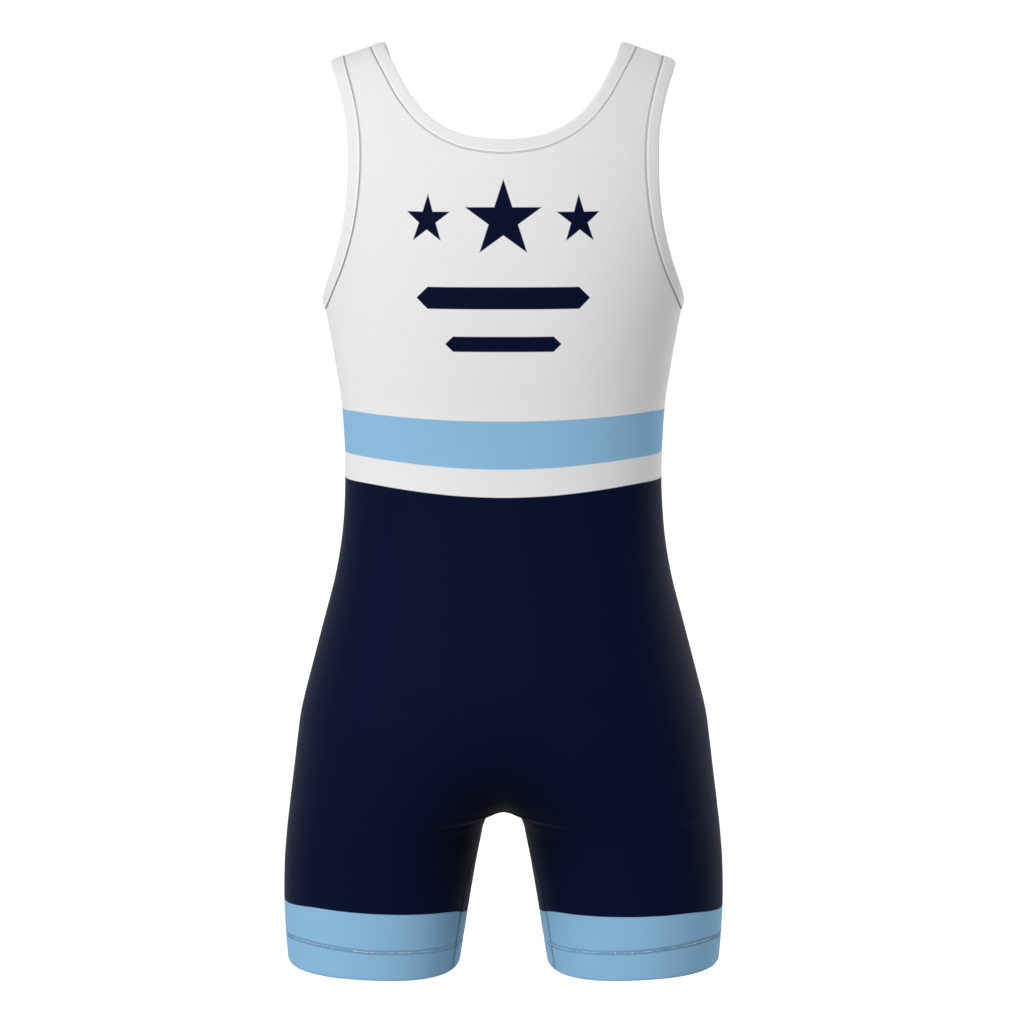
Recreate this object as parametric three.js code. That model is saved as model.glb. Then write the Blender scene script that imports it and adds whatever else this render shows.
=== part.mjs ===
// A wrestling singlet, filled out as if worn and with no wearer: a scooped top on two straps that runs
// in one piece with its shorts. Millimetres, Z up. The back of the garment faces -Y and its front +Y.
// The origin lies midway between the straps, on the line where they rest on the shoulders.
// Every height below is measured up from the leg hems.
import * as THREE from "three";

// Driving sizes
const SHOULDER_LINE = 841; // from the hems up to where the straps rest on the shoulders
const CLOTH = 1.4; // wall of the knit
const HEM = { height: 26, wall: 2.5, step: 1.5 }; // the turn-up stitched inside each leg
const SEAM_GAP = 0.3; // between two pieces at a seam
const BINDING = { width: 12.5, wall: 2.2, proud: 0.45, curl: 110 }; // curl is a radius
const INSEAM_TURN = THREE.MathUtils.degToRad(24); // how far the inseam lies behind a leg's inner side
const LEG_BLEND = 0.12; // how softly the two leg tubes run into each other

// The general figure that the cloth follows, as two tubes that merge above the crotch.
// side and inner are a tube's outer and inner limits from the centre plane, so inner is negative where
// the tubes overlap; back and front are depths from the side seam; square is 2 for an ellipse.
const SECTIONS = [
  { height: 0, side: 201, inner: 41, back: 88, front: 74, square: 2.1 },
  { height: 30, side: 203.2, inner: 36, back: 91, front: 77, square: 2.1 },
  { height: 60, side: 204.3, inner: 31, back: 94, front: 80, square: 2.1 },
  { height: 95, side: 203.5, inner: 25, back: 98.5, front: 83.5, square: 2.1 },
  { height: 118, side: 201.7, inner: 20.5, back: 102.5, front: 86, square: 2.12 },
  { height: 130, side: 200.5, inner: 15, back: 105, front: 87.3, square: 2.13 },
  { height: 140, side: 199.3, inner: 4, back: 107.5, front: 88.4, square: 2.14 },
  { height: 150, side: 198.1, inner: -10, back: 110, front: 89.5, square: 2.16 },
  { height: 165, side: 196.2, inner: -31, back: 114, front: 91.2, square: 2.18 },
  { height: 185, side: 193.7, inner: -52, back: 119, front: 93.4, square: 2.2 },
  { height: 209, side: 190.8, inner: -78, back: 124, front: 95.8, square: 2.23 },
  { height: 236, side: 187, inner: -104, back: 127.5, front: 98, square: 2.26 },
  { height: 274, side: 177.6, inner: -142, back: 126.5, front: 100, square: 2.29 },
  { height: 319, side: 165.8, inner: -165.8, back: 118.5, front: 101, square: 2.3 },
  { height: 364, side: 154.3, inner: -154.3, back: 107, front: 101, square: 2.3 },
  { height: 409, side: 147.4, inner: -147.4, back: 98, front: 100, square: 2.3 },
  { height: 463, side: 145.3, inner: -145.3, back: 94, front: 101, square: 2.3 },
  { height: 520, side: 147.9, inner: -147.9, back: 99, front: 108, square: 2.35 },
  { height: 564, side: 154.4, inner: -154.4, back: 106, front: 115, square: 2.4 },
  { height: 608, side: 162.6, inner: -162.6, back: 112, front: 119, square: 2.4 },
  { height: 645, side: 172, inner: -172, back: 115, front: 119, square: 2.4 },
  { height: 695, side: 187, inner: -187, back: 117, front: 116, square: 2.4 },
  { height: 755, side: 201, inner: -201, back: 117, front: 110, square: 2.4 },
  { height: 865, side: 208, inner: -208, back: 115, front: 104, square: 2.4 },
];
const ARMPIT = 608; // the lowest point of the armhole seam, where the side seam ends
const CREST = { height: 847, x: 119.9, slope: 0.35 }; // the shoulder line, and how it falls outwards

// Armhole seams as seen from behind and from in front: distance from the centre plane at each height.
const ARMHOLE = {
  back: [
    { height: 608, x: 162.6 },
    { height: 629, x: 154 },
    { height: 657, x: 143 },
    { height: 689, x: 134 },
    { height: 721, x: 129 },
    { height: 753, x: 127.2 },
    { height: 781, x: 128.8 },
    { height: 810, x: 134.8 },
    { height: 838.5, x: 144.2 },
  ],
  front: [
    { height: 608, x: 162.6 },
    { height: 629, x: 147 },
    { height: 657, x: 132 },
    { height: 689, x: 121 },
    { height: 721, x: 116 },
    { height: 753, x: 115.5 },
    { height: 781, x: 120.5 },
    { height: 810, x: 131 },
    { height: 838.5, x: 144.2 },
  ],
};

// Neck seams: how far below the shoulder line the seam is, at each distance from the centre plane.
const NECK = {
  back: [
    { x: 0, drop: 87.5 },
    { x: 32, drop: 85 },
    { x: 50, drop: 79 },
    { x: 65, drop: 71 },
    { x: 78, drop: 61 },
    { x: 88, drop: 50 },
    { x: 97, drop: 38 },
    { x: 107, drop: 21 },
    { x: 119.9, drop: 0 },
  ],
  front: [
    { x: 0, drop: 176 },
    { x: 32, drop: 171 },
    { x: 50, drop: 161 },
    { x: 65, drop: 147 },
    { x: 78, drop: 127 },
    { x: 88, drop: 104 },
    { x: 97, drop: 77 },
    { x: 107, drop: 43 },
    { x: 119.9, drop: 0 },
  ],
};

// How finely the panels are divided
const COLUMNS = { strap: 5, centre: 9 };
const NECK_COLUMN_BOW = 16;
const ROWS = { leg: 8, seat: 8, torso: 11, top: 13 };
const SEAT_HEIGHT = 118; // from the crotch to where the two legs have become one torso
const INSEAM_FADE = 70; // the inseam comes to the inner side over this height below the crotch

const BACK = { name: "back", turn: 1 };
const FRONT = { name: "front", turn: -1 };
const COLOUR = { panel: 0xe4e5e7, binding: 0xe9e9ea };

const { clamp, lerp, smoothstep } = THREE.MathUtils;
const power = (value, exponent) => Math.sign(value) * Math.abs(value) ** exponent;
const norm = (a, b, exponent) => (Math.abs(a) ** exponent + Math.abs(b) ** exponent) ** (1 / exponent);

// The value of one column of a table, on a smooth curve through its rows.
function along(table, from, at, name) {
  const last = table.length - 2;
  let i = 0;
  while (i < last && table[i + 1][from] < at) i += 1;
  const slope = (k) => {
    const low = table[Math.max(k - 1, 0)];
    const high = table[Math.min(k + 1, table.length - 1)];
    return (high[name] - low[name]) / (high[from] - low[from]);
  };
  const step = table[i + 1][from] - table[i][from];
  const s = clamp((at - table[i][from]) / step, 0, 1);
  const start = table[i][name] * (1 + 2 * s) * (1 - s) ** 2 + slope(i) * step * s * (1 - s) ** 2;
  const end = table[i + 1][name] * (3 - 2 * s) * s ** 2 - slope(i + 1) * step * (1 - s) * s ** 2;
  return start + end;
}

// The place where a rising or falling function passes zero.
function crossing(low, high, value) {
  const rising = value(high) > value(low);
  let [a, b] = [low, high];
  for (let turn = 0; turn < 50; turn += 1) {
    const middle = (a + b) / 2;
    if (value(middle) > 0 === rising) b = middle;
    else a = middle;
  }
  return (a + b) / 2;
}

// One level of the figure: a tube's axis and half width, its depths, and the blend between the tubes.
function sectionAt(height) {
  const read = (name) => along(SECTIONS, "height", height, name);
  const side = read("side");
  const inner = Math.max(read("inner"), -side);
  const axis = (side + inner) / 2;
  const reach = (side - inner) / 2;
  const blend = Math.min(LEG_BLEND, (1.8 * axis) / reach);
  return { side, axis, reach, blend, back: read("back"), front: read("front"), square: read("square") };
}

const crestAt = (x) => CREST.height - CREST.slope * (Math.abs(x) - CREST.x);

// A point on the +X half of the figure, up to the armpit. angle is 0 at the side seam, grows towards the
// back of the garment and is negative towards its front, and passes 90 degrees on a leg's inner side.
function bodyPoint(angle, height) {
  const s = sectionAt(height);
  const across = power(Math.cos(angle), 2 / s.square);
  const deep = power(Math.sin(angle), 2 / s.square);
  let swell = 1;
  for (let turn = 0; turn < 20 && s.blend > 0; turn += 1) {
    const other = norm((2 * s.axis) / s.reach + swell * across, swell * deep, s.square);
    swell = 1 + Math.max(s.blend - Math.abs(other - swell), 0) ** 2 / (4 * s.blend);
  }
  const depth = deep >= 0 ? s.back : s.front;
  return new THREE.Vector3(s.axis + swell * s.reach * across, -swell * depth * deep, height);
}

// A point above the armpit, where the figure closes over the shoulder to the line of the crest.
function shoulderPoint(x, height, face) {
  const s = sectionAt(height);
  const climbed = clamp((height - ARMPIT) / (crestAt(x) - ARMPIT), 0, 1);
  const across = (1 - Math.min(Math.abs(x / s.side), 1) ** s.square) ** (1 / s.square);
  const closing = (1 - climbed ** s.square) ** (1 / s.square);
  return new THREE.Vector3(x, -face.turn * s[face.name] * across * closing, height);
}

// Zero on the figure's surface, less inside it and more outside.
function figure(x, y, z) {
  const s = sectionAt(z);
  const deep = y / (y < 0 ? s.back : s.front);
  if (z > ARMPIT) {
    const climbed = (z - ARMPIT) / (crestAt(x) - ARMPIT);
    const across = 1 - Math.abs(x / s.side) ** s.square;
    return Math.abs(deep) ** s.square - across * (1 - climbed ** s.square);
  }
  const own = norm((Math.abs(x) - s.axis) / s.reach, deep, s.square);
  const other = norm((Math.abs(x) + s.axis) / s.reach, deep, s.square);
  const merge = s.blend > 0 ? Math.max(s.blend - Math.abs(other - own), 0) ** 2 / (4 * s.blend) : 0;
  return (own - merge) ** s.square - 1;
}

// The direction straight out of the cloth at a point of the figure.
function normalAt({ x, y, z }) {
  const e = 0.4;
  return new THREE.Vector3(
    figure(x + e, y, z) - figure(x - e, y, z),
    figure(x, y + e, z) - figure(x, y - e, z),
    figure(x, y, z + e) - figure(x, y, z - e),
  ).normalize();
}

const CROTCH = crossing(100, 200, (height) => bodyPoint(Math.PI, height).x);

// The angle at which a panel ends: at the inseam on a leg, and at the centre plane above the crotch.
function endAngle(height, face) {
  if (height >= CROTCH) return crossing(Math.PI / 2 - 0.01, Math.PI, (angle) => bodyPoint(angle, height).x);
  const fade = smoothstep(CROTCH - height, 0, INSEAM_FADE);
  return Math.PI - face.turn * INSEAM_TURN * fade;
}

// The columns of half a panel, from the side to the middle, as angles at the armpit.
const LAST = COLUMNS.strap + COLUMNS.centre;
const armpit = sectionAt(ARMPIT);
const neckAngle = Math.acos((CREST.x / armpit.side) ** (armpit.square / 2));
const columnAngles = Array.from({ length: LAST + 1 }, (_, j) => {
  if (j <= COLUMNS.strap) return (neckAngle * j) / COLUMNS.strap;
  return lerp(neckAngle, Math.PI / 2, (j - COLUMNS.strap) / COLUMNS.centre);
});

// One column's point in a row of the top. climb is 0 at the armpit and 1 at the shoulder or the neck.
// The column under the strap's neck edge bows inwards on its way, so that it stays inside the armhole.
function topPoint(j, climb, face) {
  const ease = smoothstep(climb, 0, 0.5);
  const start = j === LAST ? 0 : armpit.side * Math.cos(columnAngles[j]) ** (2 / armpit.square);
  const neckX = CREST.x - NECK_COLUMN_BOW * Math.sin(Math.PI * climb) ** 2;
  if (j > COLUMNS.strap) {
    const spread = ((j - COLUMNS.strap) / COLUMNS.centre) ** 2;
    const end = CREST.height - along(NECK[face.name], "x", CREST.x * (1 - spread), "drop");
    return shoulderPoint(neckX * lerp(start / CREST.x, 1 - spread, ease), lerp(ARMPIT, end, climb), face);
  }
  const share = lerp((armpit.side - start) / (armpit.side - CREST.x), j / COLUMNS.strap, ease);
  let x = start;
  let height = ARMPIT;
  for (let turn = 0; turn < 8; turn += 1) {
    height = lerp(ARMPIT, crestAt(x), climb);
    x = lerp(along(ARMHOLE[face.name], "height", height, "x"), neckX, share);
  }
  return shoulderPoint(x, height, face);
}

// The rows of a panel from the hem to the armpit, closer together near the crotch.
function rowHeights() {
  const rows = [0, HEM.height / 2, HEM.height];
  const legStart = HEM.height + HEM.step;
  for (let i = 0; i <= ROWS.leg; i += 1) {
    rows.push(lerp(legStart, CROTCH, 1 - (1 - i / ROWS.leg) ** 2));
  }
  for (let i = 1; i <= ROWS.seat; i += 1) rows.push(CROTCH + SEAT_HEIGHT * (i / ROWS.seat) ** 2);
  for (let i = 1; i <= ROWS.torso; i += 1) rows.push(lerp(CROTCH + SEAT_HEIGHT, ARMPIT, i / ROWS.torso));
  return rows;
}
const HEIGHTS = rowHeights();
const CROTCH_ROW = HEIGHTS.indexOf(CROTCH);
const ARMPIT_ROW = HEIGHTS.length - 1;
const TOP_ROW = ARMPIT_ROW + ROWS.top;

// The points of half a panel on the figure, row by row, before any gap is left at the seams.
function halfPanel(face) {
  const rows = HEIGHTS.map((height) => {
    const beyond = endAngle(height, face) - Math.PI / 2;
    return columnAngles.map((angle) => {
      return bodyPoint(face.turn * (angle + beyond * ((2 * angle) / Math.PI) ** 2), height);
    });
  });
  for (let i = 1; i <= ROWS.top; i += 1) {
    const climb = (1 - Math.cos((Math.PI * i) / ROWS.top)) / 2;
    rows.push(columnAngles.map((_, j) => topPoint(j, climb, face)));
  }
  rows.forEach((row, i) => {
    if (i >= CROTCH_ROW) row[LAST].x = 0;
  });
  return rows;
}

// How far a panel's point draws back from its seam, so that its neighbour lies SEAM_GAP away.
function drawBack(rows, i, j, face) {
  const seam = new THREE.Vector3(0, (-face.turn * SEAM_GAP) / 2, 0);
  const atSide = j === 0 && i <= ARMPIT_ROW;
  const atShoulder = i === TOP_ROW && j <= COLUMNS.strap;
  const atCrotch = j === LAST && i === CROTCH_ROW;
  if (atSide || atShoulder || atCrotch) return seam;
  if (j === LAST && i < CROTCH_ROW) {
    return rows[i][j - 1].clone().sub(rows[i][j]).setLength(SEAM_GAP / 2);
  }
  return seam.set(0, 0, 0);
}

// A closed geometry whose faces point outwards, from shared points and the triangles between them.
function closedGeometry(points, triangles) {
  const cross = new THREE.Vector3();
  const volume = triangles.reduce((sum, [a, b, c]) => {
    return sum + points[a].dot(cross.crossVectors(points[b], points[c]));
  }, 0);
  const index = triangles.flatMap(([a, b, c]) => (volume > 0 ? [a, b, c] : [a, c, b]));
  const geometry = new THREE.BufferGeometry().setFromPoints(points);
  geometry.setIndex(index);
  geometry.computeVertexNormals();
  return geometry;
}

// A wall of cloth: the outer points, the same points moved in, and a strip along every open edge.
function clothWall(outer, inner, triangles) {
  const count = outer.length;
  const edges = new Set(triangles.flatMap(([a, b, c]) => [`${a},${b}`, `${b},${c}`, `${c},${a}`]));
  const wall = triangles.flatMap(([a, b, c]) => [[a, b, c], [a + count, c + count, b + count]]);
  edges.forEach((edge) => {
    const [a, b] = edge.split(",").map(Number);
    if (!edges.has(`${b},${a}`)) wall.push([b, a, a + count], [b, a + count, b + count]);
  });
  return closedGeometry([...outer, ...inner], wall);
}

// A whole panel: both halves, sharing their middle column from the crotch up.
function panelGeometry(face) {
  const rows = halfPanel(face);
  const outer = [];
  const inner = [];
  const place = (i, j, mirror) => {
    const point = rows[i][j];
    const thickness = HEIGHTS[i] <= HEM.height ? HEM.wall : CLOTH;
    const normal = i === CROTCH_ROW && j === LAST ? new THREE.Vector3(0, 0, -1) : normalAt(point);
    const moved = point.clone().add(drawBack(rows, i, j, face));
    const behind = moved.clone().addScaledVector(normal, -thickness);
    if (i >= CROTCH_ROW && j === LAST) behind.x = 0;
    const flip = new THREE.Vector3(mirror, 1, 1);
    outer.push(moved.multiply(flip));
    inner.push(behind.multiply(flip));
    return outer.length - 1;
  };
  const right = rows.map((row, i) => row.map((_, j) => place(i, j, 1)));
  const left = rows.map((row, i) => row.map((_, j) => {
    return i >= CROTCH_ROW && j === LAST ? right[i][j] : place(i, j, -1);
  }));
  const triangles = [];
  for (let i = 0; i < TOP_ROW; i += 1) {
    for (let j = 0; j < LAST; j += 1) {
      const [a, b, c, d] = [right[i][j], right[i][j + 1], right[i + 1][j + 1], right[i + 1][j]];
      triangles.push([a, b, c], [a, c, d]);
      const [e, f, g, h] = [left[i][j], left[i][j + 1], left[i + 1][j + 1], left[i + 1][j]];
      triangles.push([e, g, f], [e, h, g]);
    }
  }
  return clothWall(outer, inner, triangles);
}

// The folded band's section: across the band from the seam, and out from the figure.
function bindingSection() {
  const near = SEAM_GAP;
  const far = SEAM_GAP + BINDING.width;
  const high = BINDING.proud;
  const low = BINDING.proud - BINDING.wall;
  const round = BINDING.wall / 3;
  const corners = [
    [near, low + round], [near, high - round], [near + round, high], [far - round, high],
    [far, high - round], [far, low + round], [far - round, low], [near + round, low],
  ];
  return corners.map(([across, out]) => ({ across, out: out - across ** 2 / (2 * BINDING.curl) }));
}

// A band round a closed seam. away says which side of the seam it lies on, 1 or -1.
function bindingGeometry(path, away) {
  const section = bindingSection();
  const stations = path.length;
  const points = path.flatMap((point, i) => {
    const next = path[(i + 1) % stations];
    const last = path[(i + stations - 1) % stations];
    const ahead = next.clone().sub(point).normalize().add(point.clone().sub(last).normalize());
    const out = normalAt(point);
    const mitre = 2 / ahead.length();
    const across = new THREE.Vector3().crossVectors(ahead, out).setLength(mitre).multiplyScalar(away);
    return section.map((corner) => {
      return point.clone().addScaledVector(across, corner.across).addScaledVector(out, corner.out);
    });
  });
  const sides = section.length;
  const triangles = [];
  for (let i = 0; i < stations; i += 1) {
    for (let k = 0; k < sides; k += 1) {
      const here = i * sides;
      const there = ((i + 1) % stations) * sides;
      const other = (k + 1) % sides;
      triangles.push([here + k, there + k, there + other], [here + k, there + other, here + other]);
    }
  }
  return closedGeometry(points, triangles);
}

const mirrored = (point) => new THREE.Vector3(-point.x, point.y, point.z);
const backHalf = halfPanel(BACK);
const frontHalf = halfPanel(FRONT);

// Round the armhole on the +X side: up the back from the side seam, over the strap and down the front.
function armholePath() {
  const up = backHalf.slice(ARMPIT_ROW).map((row) => row[0]);
  const down = frontHalf.slice(ARMPIT_ROW + 1, TOP_ROW).map((row) => row[0]);
  return [...up, ...down.reverse()];
}

// Round the neck: from the middle of the back to the +X strap, down to the middle of the front, and back.
function neckPath() {
  const backEdge = backHalf[TOP_ROW].slice(COLUMNS.strap).reverse();
  const frontEdge = frontHalf[TOP_ROW].slice(COLUMNS.strap + 1);
  const half = [...backEdge, ...frontEdge];
  return [...half, ...half.slice(1, -1).reverse().map(mirrored)];
}

function piece(name, geometry, colour, roughness) {
  const material = new THREE.MeshStandardMaterial({ color: colour, roughness, metalness: 0 });
  const mesh = new THREE.Mesh(geometry, material);
  mesh.name = name;
  mesh.position.z = -SHOULDER_LINE;
  return mesh;
}

const group = new THREE.Group();
group.add(piece("back_panel", panelGeometry(BACK), COLOUR.panel, 0.55));
group.add(piece("front_panel", panelGeometry(FRONT), COLOUR.panel, 0.55));
group.add(piece("neck_binding", bindingGeometry(neckPath(), -1), COLOUR.binding, 0.6));
group.add(piece("armhole_binding_right", bindingGeometry(armholePath(), 1), COLOUR.binding, 0.6));
const leftPath = armholePath().map(mirrored);
group.add(piece("armhole_binding_left", bindingGeometry(leftPath, -1), COLOUR.binding, 0.6));

export default group;
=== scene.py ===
# %% [markdown]
# A wrestling singlet, filled out as if it were worn, with nobody in it. It is a tight one-piece garment
# of stretch knit: a back and a front that run from two shoulder straps down to short legs, with folded
# bands round the neck and the armholes. The lesson makes each piece as a surface worked out from a
# few sizes, gives the cloth its knit and its printed bands, and adds the sewing.
#
# The first cell loads the fixed frame: every size and place already exists there, so nothing in this
# file moves or resizes the garment. It only makes the same cloth finer.

# %% Load the frame
import math

import bpy
import numpy as np
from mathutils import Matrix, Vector


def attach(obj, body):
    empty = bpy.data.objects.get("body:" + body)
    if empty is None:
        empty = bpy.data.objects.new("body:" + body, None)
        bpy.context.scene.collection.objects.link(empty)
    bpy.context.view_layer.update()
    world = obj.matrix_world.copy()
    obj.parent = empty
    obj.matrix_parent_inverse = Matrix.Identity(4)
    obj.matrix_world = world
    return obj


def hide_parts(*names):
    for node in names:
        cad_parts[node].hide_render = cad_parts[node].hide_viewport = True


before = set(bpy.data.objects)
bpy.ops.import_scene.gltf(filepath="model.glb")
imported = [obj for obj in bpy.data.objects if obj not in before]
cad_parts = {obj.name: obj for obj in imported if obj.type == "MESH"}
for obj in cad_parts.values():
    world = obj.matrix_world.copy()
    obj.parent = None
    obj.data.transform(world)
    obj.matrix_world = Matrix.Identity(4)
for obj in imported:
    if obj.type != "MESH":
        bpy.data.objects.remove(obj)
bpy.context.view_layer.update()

# %% [markdown]
# The picture is taken from straight behind the garment and a little above it, with a long lens, so the
# hems and stripes sag in gentle curves. The camera could be placed by eye, but the garment's own size
# gives it exactly: one pixel of the picture is 0.92 mm at the middle of the garment.

# %% Camera
PICTURE_HEIGHT = 1024
MM = 0.001
PIXEL = 0.92 * MM
ELEVATION = math.radians(9.0)
DISTANCE = 4.2
AIM = Vector((0.0046, 0.0, -0.4212))
SENSOR = 36.0

camera_data = bpy.data.cameras.new("camera")
camera_data.sensor_fit = "VERTICAL"
camera_data.sensor_height = SENSOR
camera_data.lens = SENSOR * DISTANCE / (PIXEL * PICTURE_HEIGHT)
camera = bpy.data.objects.new("camera", camera_data)
bpy.context.scene.collection.objects.link(camera)
looking = Vector((0, math.cos(ELEVATION), -math.sin(ELEVATION)))
camera.location = AIM - looking * DISTANCE
camera.rotation_euler = (math.pi / 2 - ELEVATION, 0, 0)
bpy.context.scene.camera = camera
print("lens", round(camera_data.lens, 1), "mm")

# %% [markdown]
# The cloth follows a general figure. Two flattened tubes, one for each leg, merge above the crotch into
# one torso, and above the armpits the torso closes over the shoulders. A figure like this could be
# sculpted, but a short table of widths and depths says the same thing and can be measured. Heights are
# in millimetres up from the leg hems, and each column is read on a smooth curve through its rows.

# %% Sizes of the figure
SHOULDER_LINE = 841.0
ARMPIT = 608.0
CREST_HEIGHT, CREST_X, CREST_SLOPE = 847.0, 119.9, 0.35
CLOTH = 1.4
HEM_WALL, HEM_ABOVE_STITCH = 2.5, 2.5
SEAM_GAP = 0.3
BAND_WIDTH, BAND_WALL, BAND_PROUD, BAND_CURL = 12.5, 2.2, 0.45, 110.0
INSEAM_TURN = math.radians(24)
INSEAM_FADE = 70.0
LEG_BLEND, BLEND_FADE = 0.18, 1.8
SEAT_HEIGHT = 118.0
NECK_COLUMN_BOW = 16.0
BACK, FRONT = 1, -1


def table(names, rows):
    """A short table with named columns."""
    return {name: np.array(column, float) for name, column in zip(names.split(), zip(*rows))}


SECTIONS = table("height side inner back front square", [
    (0, 201, 41, 88, 74, 2.1),
    (30, 203.2, 36, 91, 77, 2.1),
    (60, 204.3, 31, 94, 80, 2.1),
    (95, 203.5, 25, 98.5, 83.5, 2.1),
    (118, 201.7, 20.5, 102.5, 86, 2.12),
    (125, 201, 19.2, 104, 86.8, 2.13),
    (130, 200.5, 17.7, 105, 87.3, 2.13),
    (134, 200, 16.1, 106, 87.7, 2.14),
    (138, 199.5, 13.8, 107, 88.2, 2.14),
    (141, 199.1, 12.5, 107.7, 88.5, 2.14),
    (143, 198.9, 10.3, 108.2, 88.7, 2.15),
    (144.5, 198.7, 6.1, 108.5, 88.9, 2.15),
    (145.5, 198.6, 2.5, 108.8, 89, 2.15),
    (147, 198.4, -2, 109.2, 89.2, 2.15),
    (152, 197.9, -7, 110.4, 89.7, 2.16),
    (165, 196.2, -24, 114, 91.2, 2.18),
    (185, 193.7, -49, 119, 93.4, 2.2),
    (209, 190.8, -78, 124, 95.8, 2.23),
    (236, 187, -104, 127.5, 98, 2.26),
    (274, 177.6, -142, 126.5, 100, 2.29),
    (319, 165.8, -165.8, 118.5, 101, 2.3),
    (364, 154.3, -154.3, 107, 101, 2.3),
    (409, 147.4, -147.4, 98, 100, 2.3),
    (463, 145.3, -145.3, 94, 101, 2.3),
    (520, 147.9, -147.9, 99, 108, 2.35),
    (564, 154.4, -154.4, 106, 115, 2.4),
    (608, 162.6, -162.6, 112, 119, 2.4),
    (645, 172, -172, 115, 119, 2.4),
    (695, 187, -187, 117, 116, 2.4),
    (755, 201, -201, 117, 110, 2.4),
    (865, 208, -208, 115, 104, 2.4),
])
ARMHOLE_HEIGHTS = (608, 629, 657, 689, 721, 753, 781, 810, 838.5)
ARMHOLE = {
    BACK: table("height x", zip(ARMHOLE_HEIGHTS, (162.6, 154, 143, 134, 129, 127.2, 128.8, 134.8, 144.2))),
    FRONT: table("height x", zip(ARMHOLE_HEIGHTS, (162.6, 147, 132, 121, 116, 115.5, 120.5, 131, 144.2))),
}
NECK_X = (-32, 0, 32, 50, 65, 78, 88, 97, 107, 119.9)
NECK = {
    BACK: table("x drop", zip(NECK_X, (85, 88.6, 85, 79, 71, 61, 50, 38, 21, 0))),
    FRONT: table("x drop", zip(NECK_X, (171, 176, 171, 161, 147, 127, 104, 77, 43, 0))),
}
print("levels", len(SECTIONS["height"]), "widest", SECTIONS["side"].max() * 2, "mm")

# %% [markdown]
# A table is read with a cubic between each two rows that leaves a row at the mean slope of its
# neighbours. Straight lines between the rows would be simpler, but they would show as creases.

# %% Reading a table
def along(rows, key, name, at):
    """Value of a column at every place in at: the Hermite cubic through the rows, with mean slopes."""
    x, y = rows[key], rows[name]
    last = len(x) - 1
    low = np.maximum(np.arange(last + 1) - 1, 0)
    high = np.minimum(np.arange(last + 1) + 1, last)
    slope = (y[high] - y[low]) / (x[high] - x[low])
    i = np.clip(np.searchsorted(x, at, side="left") - 1, 0, last - 1)
    step = x[i + 1] - x[i]
    s = np.clip((at - x[i]) / step, 0, 1)
    start = y[i] * (1 + 2 * s) * (1 - s) ** 2 + slope[i] * step * s * (1 - s) ** 2
    return start + y[i + 1] * (3 - 2 * s) * s ** 2 - slope[i + 1] * step * (1 - s) * s ** 2


def section(height):
    """One level: outer limit, axis and half width of a tube, the blend of the two tubes, and depths."""
    read = {name: along(SECTIONS, "height", name, height) for name in SECTIONS if name != "height"}
    inner = np.maximum(read["inner"], -read["side"])
    read["axis"] = (read["side"] + inner) / 2
    read["reach"] = (read["side"] - inner) / 2
    read["blend"] = np.minimum(LEG_BLEND, BLEND_FADE * read["axis"] / read["reach"])
    return read


def power(value, exponent):
    """A power that keeps the sign of what it is taken of."""
    return np.sign(value) * np.abs(value) ** exponent


def norm(a, b, exponent):
    """Distance in a rounded square: the exponent's root of the sum of the two powers."""
    return (np.abs(a) ** exponent + np.abs(b) ** exponent) ** (1 / exponent)


def smoothstep(value, low, high):
    """0 below low, 1 above high, and an S curve between them."""
    s = np.clip((value - low) / (high - low), 0, 1)
    return s * s * (3 - 2 * s)


def bell(distance, width, steepness=2):
    """1 on a line, falling to 0 beside it; a higher steepness gives it a flatter top."""
    return np.exp(-(distance / width) ** steepness)


def crest_at(x):
    """Height of the shoulder line, which falls outwards."""
    return CREST_HEIGHT - CREST_SLOPE * (np.abs(x) - CREST_X)


print("waist", round(float(along(SECTIONS, "height", "side", 463.0)) * 2, 1), "mm across")

# %% [markdown]
# Below the armpits a point of the cloth is given by its height and by an angle round the tube, which
# starts at the side seam. Where the two tubes meet they swell into each other, as stretch cloth does
# over a crotch. Above the armpits a point is given by its height and by its distance from the middle.
# The same figure is also written as one function that is zero on the cloth: its slope is the direction
# straight out of the cloth, at the crotch and over the shoulders too.

# %% Points and directions on the figure
def body_point(angle, height):
    """A rounded-square tube, swollen by the smooth union with its mirror image: x, y, z on the +X half."""
    s = section(height)
    across = power(np.cos(angle), 2 / s["square"])
    deep = power(np.sin(angle), 2 / s["square"])
    blend = np.maximum(s["blend"], 1e-9)
    swell = np.ones(np.broadcast(angle, height).shape)
    for _ in range(20):
        other = norm(2 * s["axis"] / s["reach"] + swell * across, swell * deep, s["square"])
        swell = 1 + np.maximum(blend - np.abs(other - swell), 0) ** 2 / (4 * blend)
    depth = np.where(deep >= 0, s["back"], s["front"])
    x = s["axis"] + swell * s["reach"] * across
    return np.stack([x, -swell * depth * deep, height + 0 * x], -1)


def shoulder_point(x, height, face):
    """The torso's depth at x, times what the closing over the shoulder leaves of it."""
    s = section(height)
    climbed = np.clip((height - ARMPIT) / (crest_at(x) - ARMPIT), 0, 1)
    across = (1 - np.minimum(np.abs(x / s["side"]), 1) ** s["square"]) ** (1 / s["square"])
    closing = (1 - climbed ** s["square"]) ** (1 / s["square"])
    depth = s["back"] if face == BACK else s["front"]
    return np.stack([x + 0 * height, -face * depth * across * closing, height + 0 * x], -1)


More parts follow.
